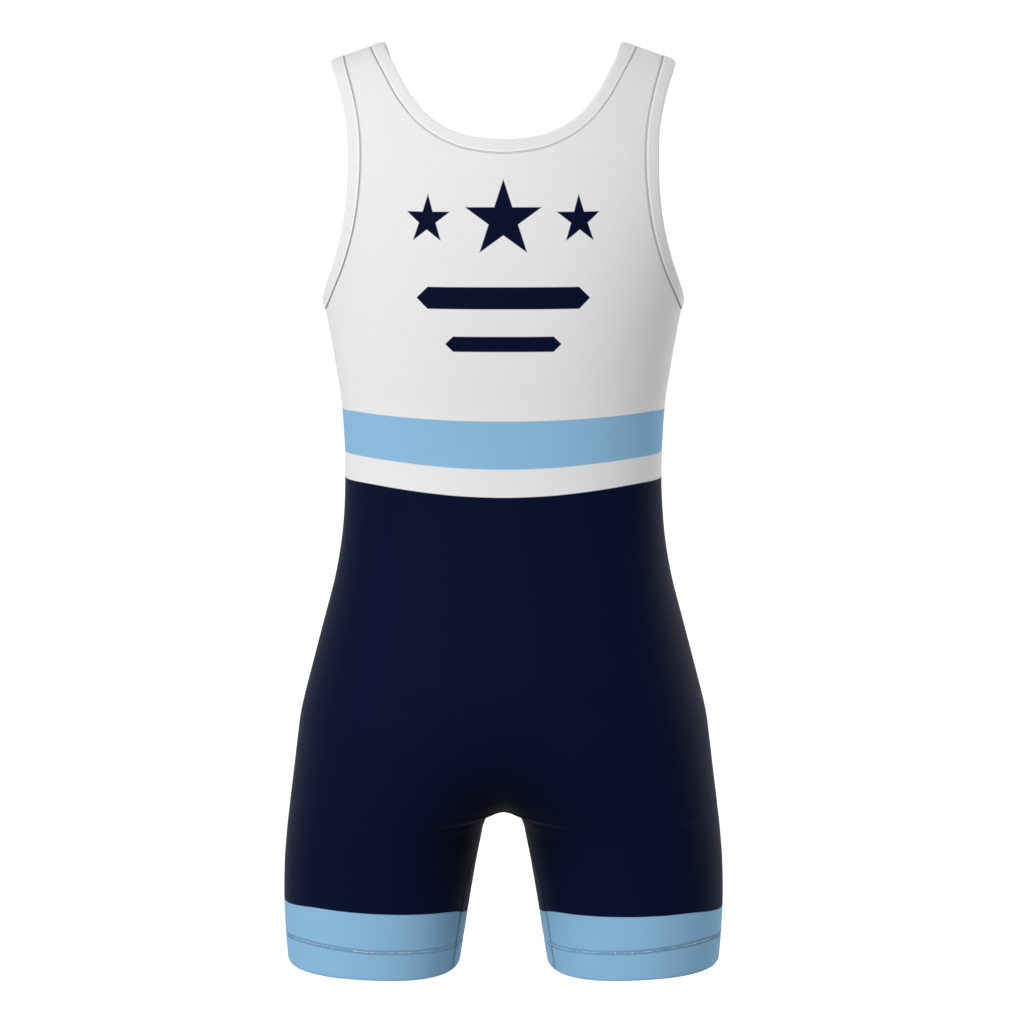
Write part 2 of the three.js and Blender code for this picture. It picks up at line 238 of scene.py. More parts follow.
def figure(x, y, z):
    """Zero on the cloth, less inside and more outside."""
    s = section(z)
    deep = y / np.where(y < 0, s["back"], s["front"])
    climbed = np.maximum(z - ARMPIT, 0) / (crest_at(x) - ARMPIT)
    across, closing = np.abs(x / s["side"]) ** s["square"], climbed ** s["square"]
    top = np.abs(deep) ** s["square"] - (1 - across) * (1 - closing)
    own = norm((np.abs(x) - s["axis"]) / s["reach"], deep, s["square"])
    other = norm((np.abs(x) + s["axis"]) / s["reach"], deep, s["square"])
    blend = np.maximum(s["blend"], 1e-9)
    merge = np.maximum(blend - np.abs(other - own), 0) ** 2 / (4 * blend)
    return np.where(z > ARMPIT, top, np.abs(own - merge) ** s["square"] - 1)


def unit(vectors):
    """Each vector at length 1."""
    return vectors / np.maximum(np.linalg.norm(vectors, axis=-1, keepdims=True), 1e-12)


def normal_at(points):
    """Slope of the figure function by differences 0.4 mm to each side."""
    e = 0.4
    x, y, z = points[..., 0], points[..., 1], points[..., 2]
    return unit(np.stack([
        figure(x + e, y, z) - figure(x - e, y, z),
        figure(x, y + e, z) - figure(x, y - e, z),
        figure(x, y, z + e) - figure(x, y, z - e),
    ], -1))


def halving(low, high, value):
    """Where a falling function passes zero, by halving the range fifty times."""
    low, high = np.array(low, float), np.array(high, float)
    for _ in range(50):
        middle = (low + high) / 2
        positive = value(middle) > 0
        low, high = np.where(positive, middle, low), np.where(positive, high, middle)
    return (low + high) / 2


CROTCH = float(halving(100, 200, lambda height: body_point(math.pi, height)[..., 0]))


def end_angle(height, face):
    """Where a panel ends: at the inseam on a leg, and at the middle of the body above the crotch."""
    low = np.full_like(height, math.pi / 2 - 0.01)
    high = np.full_like(height, math.pi)
    middle = halving(low, high, lambda angle: body_point(angle, height)[..., 0])
    fade = smoothstep(CROTCH - height, 0, INSEAM_FADE)
    return np.where(height >= CROTCH, middle, math.pi - face * INSEAM_TURN * fade)


print("crotch", round(CROTCH, 1), "mm above the hems")

# %% [markdown]
# The hem of each leg is turned up inside and held by a cover stitch, a flat row of thread that pulls the
# cloth in a little. Neither it, nor the hem's edge, nor the print above it lies level on the photo's side:
# each rises from the inner leg to the outer leg. The stripes at the waist rise towards the sides. These
# lines are kept as short tables over the share of the width, and the print and the sewing both read them.

# %% Lines of the hem, of its stitching and of the print
LEG_LINES = table("share band stitch hem", [
    (-1, 47.5, 20.0, -3.5),
    (-0.85, 55.3, 21.5, -4.2),
    (-0.6, 58.9, 23.3, -3.6),
    (-0.23, 61.1, 25.6, -1.8),
    (0.02, 61.9, 26.4, -0.8),
    (0.27, 62.5, 28.1, -0.2),
    (0.64, 62.1, 29.7, 0),
    (0.85, 58.8, 29.4, 0),
    (1, 55.0, 26.5, 0),
])
HEM_FADE = 70.0
BAND_LEAN, BAND_LEAN_SLOPE = 1.4, 1.75
WAIST_LINE = table("share lift", [
    (-0.26, 0.13),
    (0, 0),
    (0.26, 0.13),
    (0.45, 0.38),
    (0.63, 0.68),
    (0.785, 0.93),
    (0.875, 1),
    (0.94, 0.97),
    (1, 0.9),
])
WAIST_BOW = table("height bow", [(430, 8.6), (447.7, 8.0), (473.1, 6.7), (517.3, 3.3), (535, 2.0)])
WAIST_RIM, RIM_SHARE, RIM_HEIGHTS = 1.7, 0.9, (485, 517)
# Place and size of the painted shade between the legs.
CROTCH_SHADE_HALF_WIDTH, CROTCH_SHADE_HEIGHT, CROTCH_SHADE_REACH = 58.0, 138.0, 62.0
COVER_WIDTH, COVER_PULL = 4.6, 0.3


def leg_share(points):
    """Place across a leg: -1 at its inner limit and 1 at its outer one."""
    s = section(points[..., 2])
    return np.clip((np.abs(points[..., 0]) - s["axis"]) / s["reach"], -1, 1)


def waist_height(points):
    """Height on the torso, less the bow there, so that each edge of the stripes lies at one value."""
    share = np.minimum(np.abs(points[..., 0]) / section(points[..., 2])["side"], 1)
    bow = np.interp(points[..., 2], WAIST_BOW["height"], WAIST_BOW["bow"])
    rim = smoothstep(share, RIM_SHARE, 1) * smoothstep(points[..., 2], *RIM_HEIGHTS)
    return points[..., 2] - bow * along(WAIST_LINE, "share", "lift", share) + WAIST_RIM * rim


def stitch_distance(points):
    """Distance above the middle of the cover stitch."""
    return points[..., 2] - along(LEG_LINES, "share", "stitch", leg_share(points))


def crotch_painted_shade(points):
    """Painted shade: 1 deep between the legs, where little light comes, and 0 away from there."""
    return bell(points[..., 0], CROTCH_SHADE_HALF_WIDTH) * bell(points[..., 2] - CROTCH_SHADE_HEIGHT, CROTCH_SHADE_REACH)


def band_distance(points):
    """Distance above the light band's upper edge, which sits a little higher on the left leg."""
    share = leg_share(points)
    lean = -np.sign(points[..., 0]) * (BAND_LEAN + BAND_LEAN_SLOPE * share)
    return points[..., 2] - along(LEG_LINES, "share", "band", share) - lean


print("stitching", LEG_LINES["stitch"].min(), "to", LEG_LINES["stitch"].max(), "mm above the hems")

# %% [markdown]
# Each panel is a grid. Its columns start at the side seam and the armhole, and end at the middle of the
# body or at the inseam. Its rows start at the hem and end at the shoulder seam and the neck. Rows and
# columns crowd together along the seams, so that the cloth can roll down into them sharply.

# %% The grid of half a panel
STRAP_COLUMNS, CENTRE_COLUMNS = 22, 36
ROWS = {"hem": 5, "stitch": 36, "leg": 34, "seat": 36, "torso": 60, "top": 84}
STITCH_ZONE = (14.0, 35.0)
NEAR_SEAM = (0, 0.5, 1.0, 1.6, 2.4, 3.6, 5.2)
ARMPIT_SIDE = float(along(SECTIONS, "height", "side", ARMPIT))
ARMPIT_SQUARE = float(along(SECTIONS, "height", "square", ARMPIT))
NECK_ANGLE = math.acos((CREST_X / ARMPIT_SIDE) ** (ARMPIT_SQUARE / 2))
HALF_WIDTH = 215.0


def column_shares():
    """Two shares for each column: how far over the strap part it lies, and how far over the centre part."""
    edge = np.array(NEAR_SEAM) / HALF_WIDTH
    strap = np.concatenate([edge[:-1], np.linspace(edge[-1], 1, STRAP_COLUMNS)])
    centre = np.concatenate([np.linspace(0, 1 - edge[-1], CENTRE_COLUMNS)[1:], 1 - edge[:-1][::-1]])
    return np.concatenate([strap, np.ones(len(centre))]), np.concatenate([np.zeros(len(strap)), centre])


def row_heights():
    """Heights from hem to armpit, closer at the hem's edge, at its stitching and near the crotch."""
    hem = np.concatenate([NEAR_SEAM[:-1], np.linspace(NEAR_SEAM[-1], STITCH_ZONE[0], ROWS["hem"])[:-1]])
    stitch = np.linspace(*STITCH_ZONE, ROWS["stitch"])[:-1]
    leg = 1 - (1 - np.linspace(0, 1, ROWS["leg"])) ** 2
    seat = np.linspace(0, 1, ROWS["seat"])[1:] ** 2
    torso = np.linspace(0, 1, ROWS["torso"])[1:]
    start, top = STITCH_ZONE[1], CROTCH + SEAT_HEIGHT
    return np.concatenate([
        hem,
        stitch,
        start + (CROTCH - start) * leg,
        CROTCH + SEAT_HEIGHT * seat,
        top + (ARMPIT - top) * torso,
    ])


STRAP_SHARE, CENTRE_SHARE = column_shares()
COLUMN_ANGLES = NECK_ANGLE * STRAP_SHARE + (math.pi / 2 - NECK_ANGLE) * CENTRE_SHARE
HEIGHTS = row_heights()
CROTCH_ROW = int(np.argmin(np.abs(HEIGHTS - CROTCH)))
ARMPIT_ROW = len(HEIGHTS) - 1


def top_points(climb, face):
    """Columns from the armpit (climb 0) to the shoulder seam or the neck seam (climb 1)."""
    climb = climb[:, None]
    ease = smoothstep(climb, 0, 0.5)
    start = ARMPIT_SIDE * np.maximum(np.cos(COLUMN_ANGLES), 0) ** (2 / ARMPIT_SQUARE)
    neck_x = CREST_X - NECK_COLUMN_BOW * np.sin(math.pi * climb) ** 2
    spread = CENTRE_SHARE ** 2
    end = CREST_HEIGHT - along(NECK[face], "x", "drop", CREST_X * (1 - spread))
    centre_x = neck_x * (start / CREST_X + (1 - spread - start / CREST_X) * ease)
    centre_height = ARMPIT + (end - ARMPIT) * climb
    even = (ARMPIT_SIDE - start) / (ARMPIT_SIDE - CREST_X)
    share = even + (STRAP_SHARE - even) * ease
    x = start + 0 * climb
    for _ in range(8):
        height = ARMPIT + (crest_at(np.maximum(x, CREST_X)) - ARMPIT) * climb
        edge = along(ARMHOLE[face], "height", "x", height)
        x = edge + (neck_x - edge) * share
    centre = CENTRE_SHARE > 0
    return shoulder_point(np.where(centre, centre_x, x), np.where(centre, centre_height, height), face)


def half_panel(face):
    """Points of the +X half: angles stretched towards the inseam below, columns over the shoulder above."""
    beyond = end_angle(HEIGHTS, face)[:, None] - math.pi / 2
    angle = face * (COLUMN_ANGLES + beyond * (2 * COLUMN_ANGLES / math.pi) ** 2)
    body = body_point(angle, HEIGHTS[:, None])
    fade = 1 - smoothstep(HEIGHTS[:, None], 0, HEM_FADE)
    body[..., 2] += fade * along(LEG_LINES, "share", "hem", leg_share(body))
    climb = (1 - np.cos(math.pi * np.arange(1, ROWS["top"] + 1) / ROWS["top"])) / 2
    points = np.concatenate([body, top_points(climb, face)])
    points[CROTCH_ROW:, -1, 0] = 0
    return points


HALVES = {face: half_panel(face) for face in (BACK, FRONT)}
print("grid of half a panel", HALVES[BACK].shape[:2])

# %% [markdown]
# The seams are lines of that grid: the armhole and the neck edge, where the bands are sewn on, and the
# side, shoulder and inseams, where the back meets the front. Close to a seam real cloth rolls down
# into it. How deep is worked out from each point's distance to the nearest seam line.

# %% Seam lines and the roll into them
def seam_lines(face):
    """The band seams and the joining seams of the +X half, each as one run of points."""
    half = HALVES[face]
    neck_column = int(np.argmax(CENTRE_SHARE > 0)) - 1
    bands = [half[ARMPIT_ROW:, 0], half[-1, neck_column:]]
    joins = [half[:ARMPIT_ROW + 1, 0], half[-1, :neck_column + 1], half[:CROTCH_ROW + 1, -1]]
    return bands, joins


def distance_to(points, lines):
    """Shortest distance from each point to any piece of the lines, row by row of the grid."""
    starts = np.concatenate([line[:-1] for line in lines])
    steps = np.concatenate([np.diff(line, axis=0) for line in lines])
    square = np.maximum((steps ** 2).sum(-1), 1e-12)
    rows = []
    for row in points:
        gap = row[:, None] - starts
        share = np.clip((gap * steps).sum(-1) / square, 0, 1)
        rows.append(np.linalg.norm(gap - share[..., None] * steps, axis=-1).min(-1))
    return np.array(rows)


BAND_ROLL, BAND_ROLL_WIDTH = 0.6, 0.9
JOIN_ROLL, JOIN_ROLL_WIDTH = 0.4, 1.4
seam_distances = {}
for face in (BACK, FRONT):
    bands, joins = seam_lines(face)
    seam_distances[face] = distance_to(HALVES[face], bands), distance_to(HALVES[face], joins)
print("nearest seam, furthest point", round(float(seam_distances[BACK][1].max()), 1), "mm")

# %% [markdown]
# The cloth is smooth and tight, so its creases are few and shallow: soft drag lines from the armpits and
# the crotch, and a little slack at the small of the back. They could come from a simulation, but this
# knit is stretched everywhere and barely moves, so each one is listed as a soft ridge.

# %% Soft creases
CREASES = table("face x height turn length width depth", [
    (BACK, 128, 585, 38, 50, 11, -0.55),
    (BACK, -131, 578, 146, 44, 12, -0.5),
    (BACK, 121, 560, 30, 36, 9, -0.35),
    (BACK, -117, 470, 172, 42, 10, -0.35),
    (BACK, 112, 447, 8, 52, 12, -0.4),
    (BACK, 40, 196, 42, 34, 10, -0.7),
    (BACK, -43, 190, 139, 38, 11, -0.7),
    (BACK, 62, 165, 25, 30, 9, -0.5),
    (BACK, -66, 168, 157, 27, 9, -0.5),
    (FRONT, 124, 583, 40, 48, 11, -0.55),
    (FRONT, -126, 588, 142, 52, 12, -0.55),
    (FRONT, 95, 452, 6, 60, 12, -0.45),
    (FRONT, -102, 440, 175, 48, 11, -0.4),
    (FRONT, 34, 205, 48, 40, 10, -0.8),
    (FRONT, -36, 199, 133, 36, 11, -0.75),
    (FRONT, 58, 172, 28, 32, 9, -0.5),
    (FRONT, -61, 176, 151, 30, 9, -0.55),
])


def creases(points, face):
    """Sum of long soft ridges: a Gaussian across each crease and a wider one along it."""
    relief = np.zeros(points.shape[:-1])
    for k in np.flatnonzero(CREASES["face"] == face):
        turn = math.radians(CREASES["turn"][k])
        x = points[..., 0] - CREASES["x"][k]
        z = points[..., 2] - CREASES["height"][k]
        run = x * math.cos(turn) + z * math.sin(turn)
        aside = z * math.cos(turn) - x * math.sin(turn) + run ** 2 / (4 * CREASES["length"][k])
        relief += CREASES["depth"][k] * bell(run, CREASES["length"][k]) * bell(aside, CREASES["width"][k])
    return relief


print("creases", len(CREASES["x"]))

# %% [markdown]
# A panel is a closed wall of cloth. Its outer face is the grid with the creases, the seam rolls and the
# hem's stitching pressed in; its inner face is the same grid moved in by the cloth's thickness. Both
# halves share the middle column above the crotch, and a strip closes every open edge. A Solidify
# modifier could give the wall, but the hem is thicker than the rest, so the wall is worked out here.

# %% From a grid to a closed wall
def mesh_object(name, points, faces, uv=None, fields=None):
    """A mesh from points in millimetres above the hems, moved to the frame's origin and made smooth."""
    mesh = bpy.data.meshes.new(name)
    places = (np.asarray(points, float) - (0, 0, SHOULDER_LINE)) * MM
    faces = np.asarray(faces, np.int32)
    mesh.vertices.add(len(places))
    mesh.vertices.foreach_set("co", places.ravel())
    mesh.loops.add(faces.size)
    mesh.loops.foreach_set("vertex_index", faces.ravel())
    mesh.polygons.add(len(faces))
    mesh.polygons.foreach_set("loop_start", np.arange(len(faces), dtype=np.int32) * faces.shape[1])
    mesh.update(calc_edges=True)
    mesh.validate()
    mesh.shade_smooth()
    if uv is not None:
        layer = mesh.uv_layers.new(name="cloth")
        layer.data.foreach_set("uv", np.asarray(uv, np.float32)[faces.ravel()].ravel())
    for field, values in (fields or {}).items():
        stored = mesh.attributes.new(field, "FLOAT", "POINT")
        stored.data.foreach_set("value", np.asarray(values, np.float32).ravel())
    piece = bpy.data.objects.new(name, mesh)
    bpy.context.scene.collection.objects.link(piece)
    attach(piece, "root")
    return piece


def grid_faces(ids, flip):
    """Quads between the neighbouring numbers of a grid."""
    a, b, c, d = ids[:-1, :-1], ids[:-1, 1:], ids[1:, 1:], ids[1:, :-1]
    order = (a, d, c, b) if flip else (a, b, c, d)
    return np.stack([corner.ravel() for corner in order], -1)


def open_edges(faces):
    """Directed edges that have no partner running the other way."""
    pairs = np.stack([faces, np.roll(faces, -1, axis=1)], -1).reshape(-1, 2)
    size = faces.max() + 1
    keys = pairs[:, 0] * size + pairs[:, 1]
    partners = pairs[:, 1] * size + pairs[:, 0]
    return pairs[~np.isin(keys, partners)]


def cloth_coordinates(half):
    """Distances along the cloth: from the middle column across it, and from the armpit row along it."""
    across = np.linalg.norm(np.diff(half, axis=1), axis=-1)
    u = np.concatenate([np.cumsum(across[:, ::-1], axis=1)[:, ::-1], np.zeros((len(half), 1))], 1)
    down = np.linalg.norm(np.diff(half, axis=0), axis=-1)
    v = np.concatenate([np.zeros((1, half.shape[1])), np.cumsum(down, axis=0)])
    return u, v - v[ARMPIT_ROW]


HEM_ROUND, HEM_ROUND_WIDTH, WALL_FADE = 0.8, 1.1, 1.5
INNER_CREASE, INNER_ROUND = 0.3, 0.6
BAND_SHADE_WIDTH, JOIN_SHADE_WIDTH = 0.75, 2.3


def seam_shift(face):
    """How far each point of a half moves away from its seams, so that the panels stay a gap apart."""
    half = HALVES[face]
    shift = np.zeros_like(half)
    shift[:ARMPIT_ROW + 1, 0, 1] = -face
    shift[-1, CENTRE_SHARE == 0, 1] = -face
    shift[:CROTCH_ROW, -1] = unit(half[:CROTCH_ROW, -2] - half[:CROTCH_ROW, -1])
    shift[CROTCH_ROW, -1] = (0, -face, 0)
    return shift * SEAM_GAP / 2


def panel(name, face):
    """Both halves of a panel: outer face, inner face and the strips that close its edges."""
    half = HALVES[face]
    normal = normal_at(half)
    normal[CROTCH_ROW, -1] = (0, 0, -1)
    band_gap, join_gap = seam_distances[face]
    roll = BAND_ROLL * bell(band_gap, BAND_ROLL_WIDTH) + JOIN_ROLL * bell(join_gap, JOIN_ROLL_WIDTH)
    stitch = stitch_distance(half)
    pull = COVER_PULL * bell(stitch, COVER_WIDTH / 2, 4)
    row_height = np.concatenate([HEIGHTS, np.full(ROWS["top"], ARMPIT)])[:, None]
    fold = HEM_ROUND * bell(row_height, HEM_ROUND_WIDTH)
    thinner = smoothstep(stitch, HEM_ABOVE_STITCH, HEM_ABOVE_STITCH + WALL_FADE)
    wall = HEM_WALL + (CLOTH - HEM_WALL) * thinner
    u, v = cloth_coordinates(half)
    points, inner, uv = [], [], []
    fields = {"print": [], "leg": [], "crotch_painted_shade": [], "stitch": [], "seam": []}
    # Painted shade: 1 down in the seams, where the colour is darkened.
    seam = np.maximum(bell(band_gap, BAND_SHADE_WIDTH), bell(join_gap, JOIN_SHADE_WIDTH))
    for side in (1, -1):
        mirror = np.array((side, 1, 1))
        place, out, shift = half * mirror, normal * mirror, seam_shift(face) * mirror
        sunk = creases(place, face) - roll - pull - fold
        outer = place + shift + out * sunk[..., None]
        depth = wall - np.minimum(sunk, 0) * INNER_CREASE - fold * INNER_ROUND
        behind = place + shift - out * depth[..., None]
        outer[CROTCH_ROW:, -1, 0] = 0
        behind[CROTCH_ROW:, -1, 0] = 0
        points.append(outer)
        inner.append(behind)
        uv.append(np.stack([u * side, v], -1))
        measures = waist_height(place), band_distance(place), crotch_painted_shade(place), stitch, seam
        for field, values in zip(fields, measures):
            fields[field].append(values)
    count = half.shape[0] * half.shape[1]
    right = np.arange(count).reshape(half.shape[:2])
    left = right + count
    left[CROTCH_ROW:, -1] = right[CROTCH_ROW:, -1]
    flip = face == FRONT
    faces = np.concatenate([grid_faces(right, not flip), grid_faces(left, flip)])
    edge = open_edges(faces)
    total = 2 * count
    strips = np.stack([edge[:, 1], edge[:, 0], edge[:, 0] + total, edge[:, 1] + total], -1)
    all_faces = np.concatenate([faces, faces[:, ::-1] + total, strips])
    kept, number = np.unique(all_faces, return_inverse=True)
    places = np.reshape(points + inner, (-1, 3))[kept]
    flat = np.reshape(uv + uv, (-1, 2))[kept]
    values = {field: np.ravel(halves + halves)[kept] for field, halves in fields.items()}
    values["inside"] = np.repeat((0.0, 1.0), total)[kept]
    return mesh_object(name, places, number.reshape(all_faces.shape), flat, values)


back_cloth = panel("back_cloth", BACK)
front_cloth = panel("front_cloth", FRONT)
print("back", len(back_cloth.data.vertices), "points, front", len(front_cloth.data.vertices))

# %% [markdown]
# The bands round the neck and the armholes are strips of the same knit, folded double over the raw edge.
# A band is one rounded profile carried along its seam line. Close to the seam it has a small lip, where
# the folded edge stands over the stitches; that lip catches the light, and it also gets a painted
# highlight.

# %% The folded bands
BAND_LIP, LIP_PLACE, LIP_WIDTH = 0.3, 1.3, 0.8
BAND_CROWN, BAND_FLAT_TOP, BAND_ROUND_EDGE = 0.18, 0.62, 0.42
BAND_NARROW = 0.15
BAND_POINTS, BAND_STEP = 26, 2.6
BAND_SEAM_SHADE_WIDTH, LIP_HIGHLIGHT_PLACE, LIP_HIGHLIGHT_WIDTH = 0.5, 1.4, 0.6


def turns(count):
    """Angles spaced evenly round a circle."""
    return np.linspace(0, 2 * math.pi, count, endpoint=False)


def lengths(path):
    """Distance of each point from the first one, along the path."""
    return np.concatenate([[0], np.cumsum(np.linalg.norm(np.diff(path, axis=0), axis=-1))])


def ring_faces(rings, around, flip):
    """Quads of a closed surface, made of rings of points carried along a closed path."""
    ids = np.arange(rings * around).reshape(rings, around)
    ids = np.concatenate([ids, ids[:1]])
    return grid_faces(np.concatenate([ids, ids[:, :1]], 1), flip)


def band_profile():
    """A closed rounded strip: across from the seam, and out from the body, with a lip and a low crown."""
    turn = turns(BAND_POINTS)
    across = BAND_WIDTH / 2 * power(np.cos(turn), BAND_ROUND_EDGE)
    out = BAND_WALL / 2 * power(np.sin(turn), BAND_FLAT_TOP)
    across = SEAM_GAP + BAND_WIDTH / 2 - across
    crown = BAND_CROWN * np.sin(math.pi * np.clip(across / BAND_WIDTH, 0, 1))
    lip = BAND_LIP * bell(across - LIP_PLACE, LIP_WIDTH)
    outer = np.where(out > 0, crown + lip, 0)
    return across, out + outer + BAND_PROUD - BAND_WALL / 2 - across ** 2 / (2 * BAND_CURL)


def band(name, path, away):
    """The profile carried round a closed seam. away says on which side of the seam it lies."""
    ahead = unit(np.roll(path, -1, 0) - path) + unit(path - np.roll(path, 1, 0))
    out = normal_at(path)
    mitre = 2 / np.linalg.norm(ahead, axis=-1)
    across = unit(np.cross(ahead, out)) * mitre[:, None] * away
    over, up = band_profile()
    narrow = 1 - BAND_NARROW * np.abs(2 * unit(ahead)[:, 0] * unit(ahead)[:, 2])[:, None, None]
    points = path[:, None] + across[:, None] * over[:, None] * narrow + out[:, None] * up[:, None]
    stations = len(path)
    faces = ring_faces(stations, BAND_POINTS, away < 0)
    uv = np.stack(np.broadcast_arrays(over[None], lengths(path)[:, None]), -1).reshape(-1, 2)
    # Painted shade: 1 at the band's seam, where the colour is darkened.
    seam = np.tile(bell(over - SEAM_GAP, BAND_SEAM_SHADE_WIDTH), stations)
    # Painted highlight: 1 on the raised lip, where the colour is made lighter.
    lip = np.tile(bell(over - LIP_HIGHLIGHT_PLACE, LIP_HIGHLIGHT_WIDTH), stations)
    return mesh_object(name, points.reshape(-1, 3), faces, uv, {"seam": seam, "lip": lip})


def spaced(path, step):
    """The same line with evenly spaced points."""
    length = lengths(path)
    at = np.linspace(0, length[-1], max(2, round(length[-1] / step) + 1))
    return np.stack([np.interp(at, length, path[:, k]) for k in range(3)], -1)


def armhole_line():
    """Up the back from the side seam, over the strap and down the front, on the +X side."""
    up, down = HALVES[BACK][ARMPIT_ROW:, 0], HALVES[FRONT][ARMPIT_ROW:, 0]
    return spaced(np.concatenate([up, down[::-1][1:]]), BAND_STEP)[:-1]


def neck_line():
    """From the middle of the back over the +X strap to the middle of the front, and its mirror image."""
    bands_back, bands_front = seam_lines(BACK)[0][1], seam_lines(FRONT)[0][1]
    half = spaced(np.concatenate([bands_back[::-1], bands_front[1:]]), BAND_STEP)
    return np.concatenate([half, half[1:-1][::-1] * (-1, 1, 1)])


ARMHOLE_LINE, NECK_LINE = armhole_line(), neck_line()
neck_band = band("neck_band", NECK_LINE, -1)
arm_band_right = band("armhole_band_right", ARMHOLE_LINE, 1)
arm_band_left = band("armhole_band_left", ARMHOLE_LINE * (-1, 1, 1), -1)
print("neck band", len(NECK_LINE), "stations, armhole band", len(ARMHOLE_LINE))

# %% [markdown]
# Thread. The cover stitch shows as short pale stitches along the middle of a flat braid of blue thread.
# Each thread is a thin tube along a wavy line that lies on the cloth, and all the stitches of a row are
# one mesh, made by moving one small stitch to every place at once.

# %% Lines on the cloth for the stitches
def stitch_ring(side, step):
    """The cover stitch's middle, as a closed line round one leg, and the direction out of the cloth."""
    angle = np.linspace(0, 2 * math.pi, 361)
    points = body_point(angle, np.full_like(angle, 25.0))
    for _ in range(4):
        points = body_point(angle, along(LEG_LINES, "share", "stitch", leg_share(points)))
    points = spaced(points, step)[:-1]
    return points * (side, 1, 1), normal_at(points) * (side, 1, 1)


def ahead_of(path):
    """Direction along a closed line at each of its points."""
    return unit(np.roll(path, -1, 0) - np.roll(path, 1, 0))


def tube(path, radius, sides):
    """Points and quads of a closed tube: a circle carried along a closed line, square to it."""
    ahead = ahead_of(path)
    leaning = np.array((0.0, 0.0, 1.0)) + 0.3 * path / 200
    side = unit(np.cross(ahead, leaning))
    up = np.cross(side, ahead)
    turn = turns(sides)[:, None]
    ring = np.cos(turn) * side[:, None] + np.sin(turn) * up[:, None]
    return (path[:, None] + radius * ring).reshape(-1, 3), ring_faces(len(path), sides, True)


def stitches(centres, ahead, out, length, radius):
    """Many small capsules at once: a bulging profile turned about each stitch's own direction."""
    rounds, sides = 6, 6
    t = np.linspace(-1, 1, rounds)[:, None]
    turn = turns(sides)
    girth = radius * np.sqrt(np.maximum(1 - np.abs(t) ** 3, 0.02))
    shape = np.broadcast_arrays(t * length / 2, girth * np.cos(turn), girth * np.sin(turn))
    frames = np.stack([ahead, np.cross(ahead, out), out], 1)
    points = centres[:, None] + np.stack(shape, -1).reshape(-1, 3) @ frames
    ids = np.arange(rounds * sides).reshape(rounds, sides)
    quads = grid_faces(np.concatenate([ids, ids[:, :1]], 1), True)
    cap = np.array([(0, 1, 4, 5), (1, 2, 3, 4)])
    quads = np.concatenate([quads, cap, cap[:, ::-1] + ids[-1, 0]])
    count = len(centres)
    faces = (quads[None] + np.arange(count)[:, None, None] * rounds * sides).reshape(-1, 4)
    return points.reshape(-1, 3), faces


BRAID_PITCH, BRAID_RADIUS, BRAID_SIDES, BRAID_LIFT = 2.3, 0.17, 5, 0.05
PALE_PITCH, PALE_LENGTH, PALE_RADIUS, PALE_LIFT = 2.3, 2.0, 0.44, 0.18
STEPS_PER_PITCH, THREAD_BULGE, ZIGZAG_INSET = 6, 0.12, 0.3
STITCH_STRETCH, DRIFT_RUN = (0.5, 1.15), 7
TONE_MEAN, TONE_DRIFT, TONE_SPREAD = 0.55, 1.1, 0.25


def cover_stitch(side, tag):
    """One leg's cover stitch: a zigzag braid and the pale stitches along its middle."""
    path, out = stitch_ring(side, BRAID_PITCH / STEPS_PER_PITCH)
    count = len(path) - len(path) % STEPS_PER_PITCH
    path, out = path[:count], out[:count]
    phase = np.arange(count) * 2 * math.pi / STEPS_PER_PITCH
    wave = np.array((0, 0, 1.0)) * (np.sin(phase) * (COVER_WIDTH / 2 - ZIGZAG_INSET))[:, None]
    lift = out * (BRAID_LIFT - COVER_PULL + THREAD_BULGE * np.cos(2 * phase))[:, None]
    dye = {"tone": np.repeat(0.5 + 0.5 * np.sin(phase / 7), BRAID_SIDES)}
    zigzag = tube(path + wave + lift, BRAID_RADIUS, BRAID_SIDES)
    braid = mesh_object("cover_braid_" + tag, *zigzag, fields=dye)
    path, out = stitch_ring(side, PALE_PITCH)
    ahead = ahead_of(path)
    random = np.random.default_rng(11 if side > 0 else 12)
    stretch = random.uniform(*STITCH_STRETCH, len(path))[:, None]
    drift = np.convolve(random.normal(0, 1, len(path)), np.ones(DRIFT_RUN) / DRIFT_RUN, "same")
    # Tone is partly random and partly painted highlight: the stitches that sit higher are also painted
    # paler.
    tone = np.clip(TONE_MEAN + TONE_DRIFT * drift + random.normal(0, TONE_SPREAD, len(path)), 0, 1)
    lift = out * (PALE_LIFT - COVER_PULL + THREAD_BULGE * tone)[:, None]
    points, faces = stitches(path + lift, ahead * stretch, out, PALE_LENGTH, PALE_RADIUS)
    each = len(points) // len(path)
    pale = mesh_object("cover_stitches_" + tag, points, faces, fields={"tone": np.repeat(tone, each)})
    return braid, pale


covers = [cover_stitch(1, "right"), cover_stitch(-1, "left")]
print("stitches on a leg", len(stitch_ring(1, PALE_PITCH)[0]))

# %% [markdown]
# Materials. The knit itself is one node group, shared by every cloth: rows of small loops that give the
# surface its grain. It reads the cloth's own coordinates in metres, so the loops keep one size and follow
# the curves of the garment. The group puts out a height for the bump and a shade for the colour: random
# flecks, and painted shade where the loops lie low.

# %% Node helpers and the knit
def group_tree(name, inputs, outputs):
    """A shader node group: each input is a number with its usual value, or a vector where that is None."""
    tree = bpy.data.node_groups.new(name, "ShaderNodeTree")
    for socket, value in inputs.items():
        kind = "NodeSocketVector" if value is None else "NodeSocketFloat"
        made = tree.interface.new_socket(name=socket, in_out="INPUT", socket_type=kind)
        if value is not None:
            made.default_value = value
    for socket in outputs:
        tree.interface.new_socket(name=socket, in_out="OUTPUT", socket_type="NodeSocketFloat")
    return tree, tree.nodes.new("NodeGroupInput"), tree.nodes.new("NodeGroupOutput")


